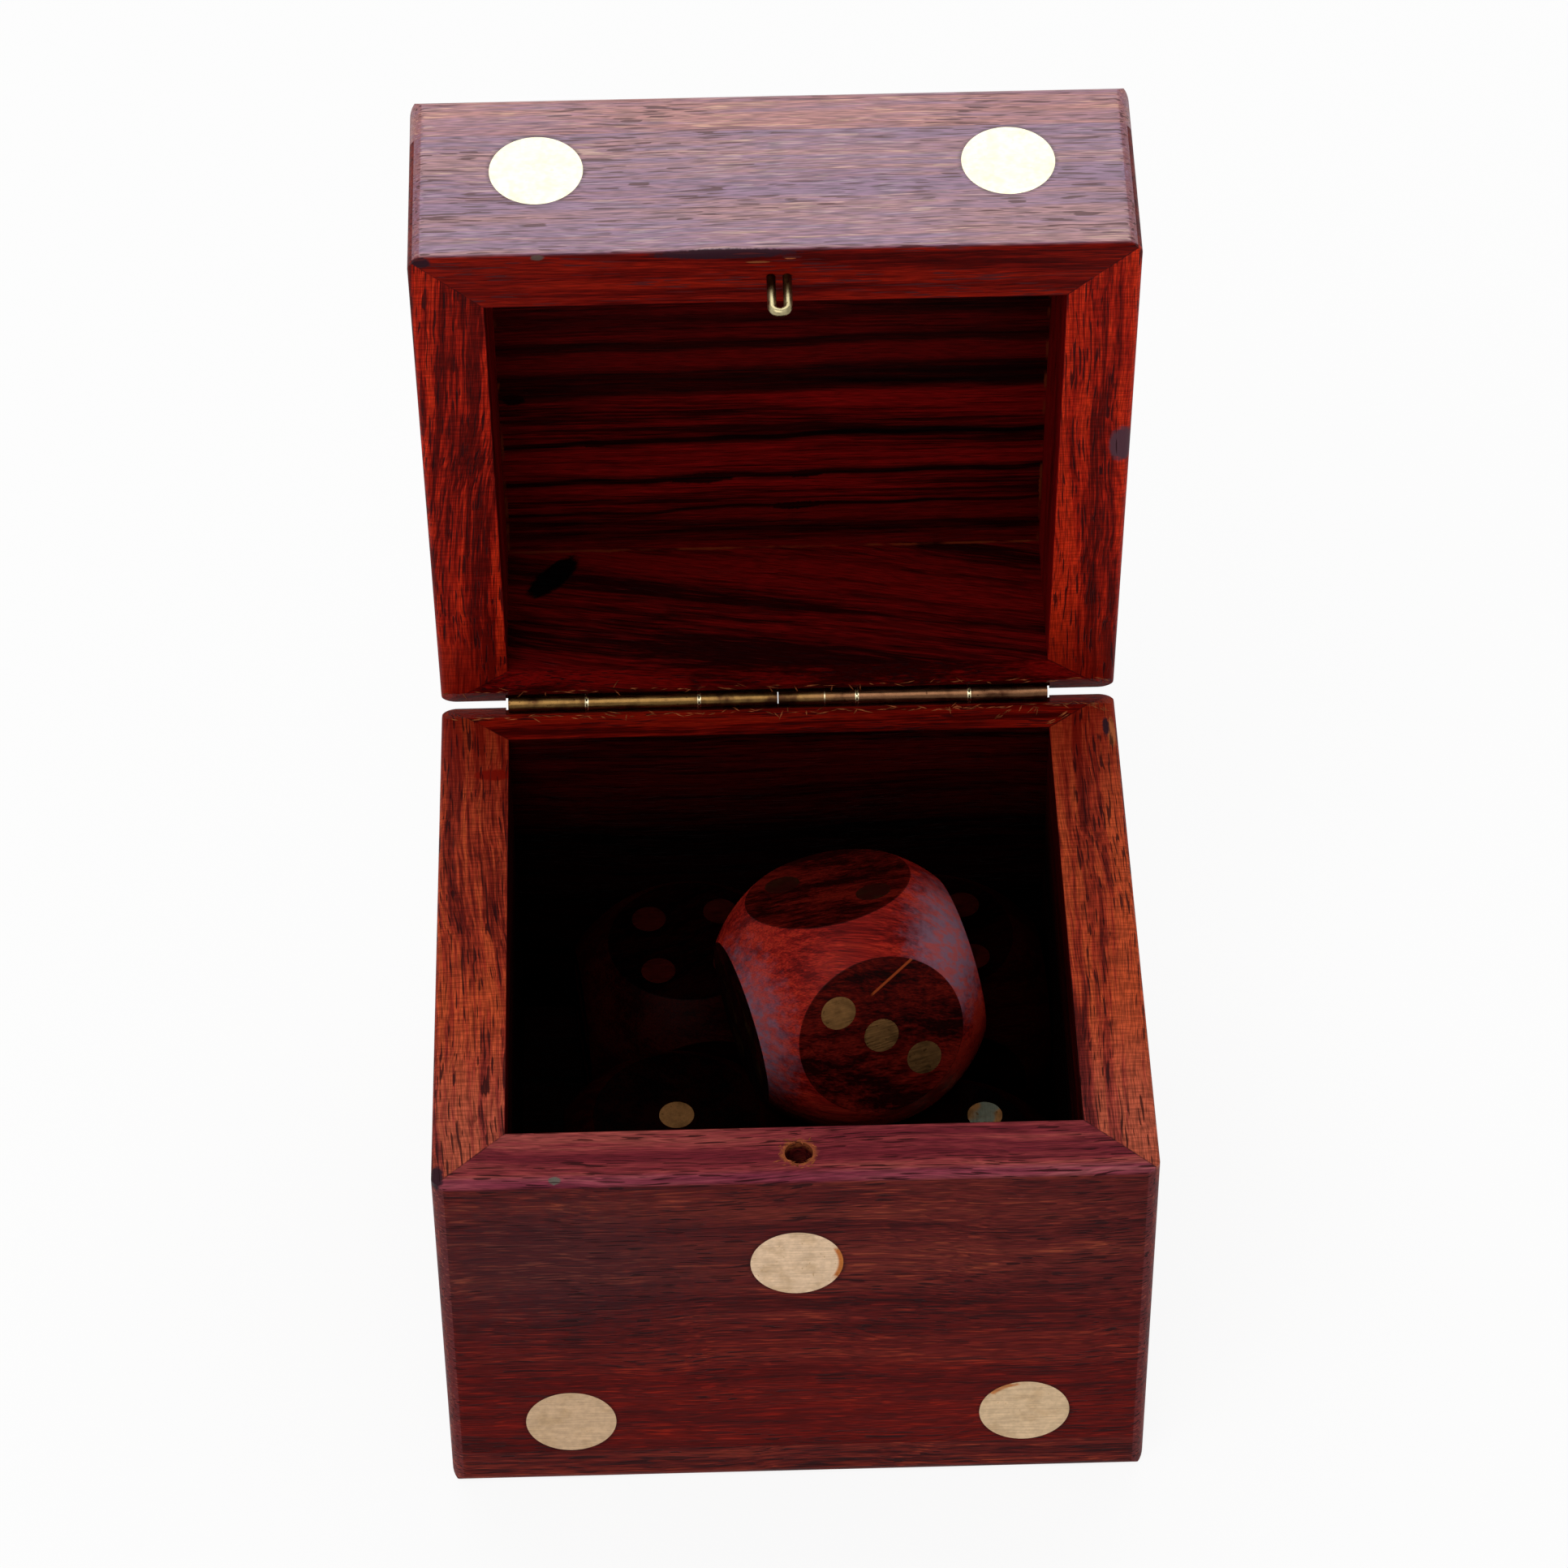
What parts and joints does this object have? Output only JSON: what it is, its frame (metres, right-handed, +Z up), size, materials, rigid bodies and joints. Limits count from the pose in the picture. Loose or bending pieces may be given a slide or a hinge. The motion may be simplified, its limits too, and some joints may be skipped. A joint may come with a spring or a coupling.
{
  "type": "dice box with hinged lid",
  "caption": "Small cube-like hardwood box styled as a die, brass discs let into its faces, hinged lid standing open with a wire catch, wooden dice with brass spots inside.",
  "frame": {"origin": "middle of the flat underside of the box's body", "axes": "+X to the right seen from the front, +Y towards the hinges at the back, +Z up"},
  "size_m": [0.0636, 0.0798, 0.1034],
  "materials": {
    "body_wood": "oiled red hardwood, scuffed",
    "lid_wood": "oiled red hardwood, scuffed",
    "die_wood": "polished red hardwood",
    "inlay_discs": "pale brass, finely scratched",
    "die_spots": "dull brass, scratched",
    "hinge_brass": "darkened brass",
    "nail_brass": "darkened brass",
    "wire_brass": "bright brass wire"
  },
  "bodies": {
    "box_body": {"body_front_wall": "body_wood", "body_back_wall": "body_wood", "body_left_wall": "body_wood", "body_right_wall": "body_wood", "body_bottom_panel": "body_wood", "body_front_discs": "inlay_discs", "body_back_disc": "inlay_discs", "body_left_discs": "inlay_discs", "body_right_discs": "inlay_discs", "hinge_left_body_leaf": "hinge_brass", "hinge_left_pin": "hinge_brass", "hinge_right_body_leaf": "hinge_brass", "hinge_right_pin": "hinge_brass", "body_hinge_nails": "nail_brass", "die_front_left": "die_wood", "die_front_left_spots": "die_spots", "die_back_left": "die_wood", "die_back_left_spots": "die_spots", "die_back_right": "die_wood", "die_back_right_spots": "die_spots", "die_front_right": "die_wood", "die_front_right_spots": "die_spots", "die_top": "die_wood", "die_top_spots": "die_spots"},
    "lid": {"lid_front_wall": "lid_wood", "lid_back_wall": "lid_wood", "lid_left_wall": "lid_wood", "lid_right_wall": "lid_wood", "lid_top_panel": "lid_wood", "lid_front_discs": "inlay_discs", "lid_back_disc": "inlay_discs", "lid_left_disc": "inlay_discs", "lid_right_discs": "inlay_discs", "lid_top_discs": "inlay_discs", "hinge_left_lid_leaf": "hinge_brass", "hinge_right_lid_leaf": "hinge_brass", "lid_hinge_nails": "nail_brass", "catch_loop": "wire_brass"}
  },
  "joints": [
    {"name": "lid_hinge", "type": "hinge", "parent": "box_body", "child": "lid", "pos_m": [0, 0.0299, 0.04145], "axis": [-1, 0, 0], "range_deg": [-83.3, 14.5]}
  ]
}
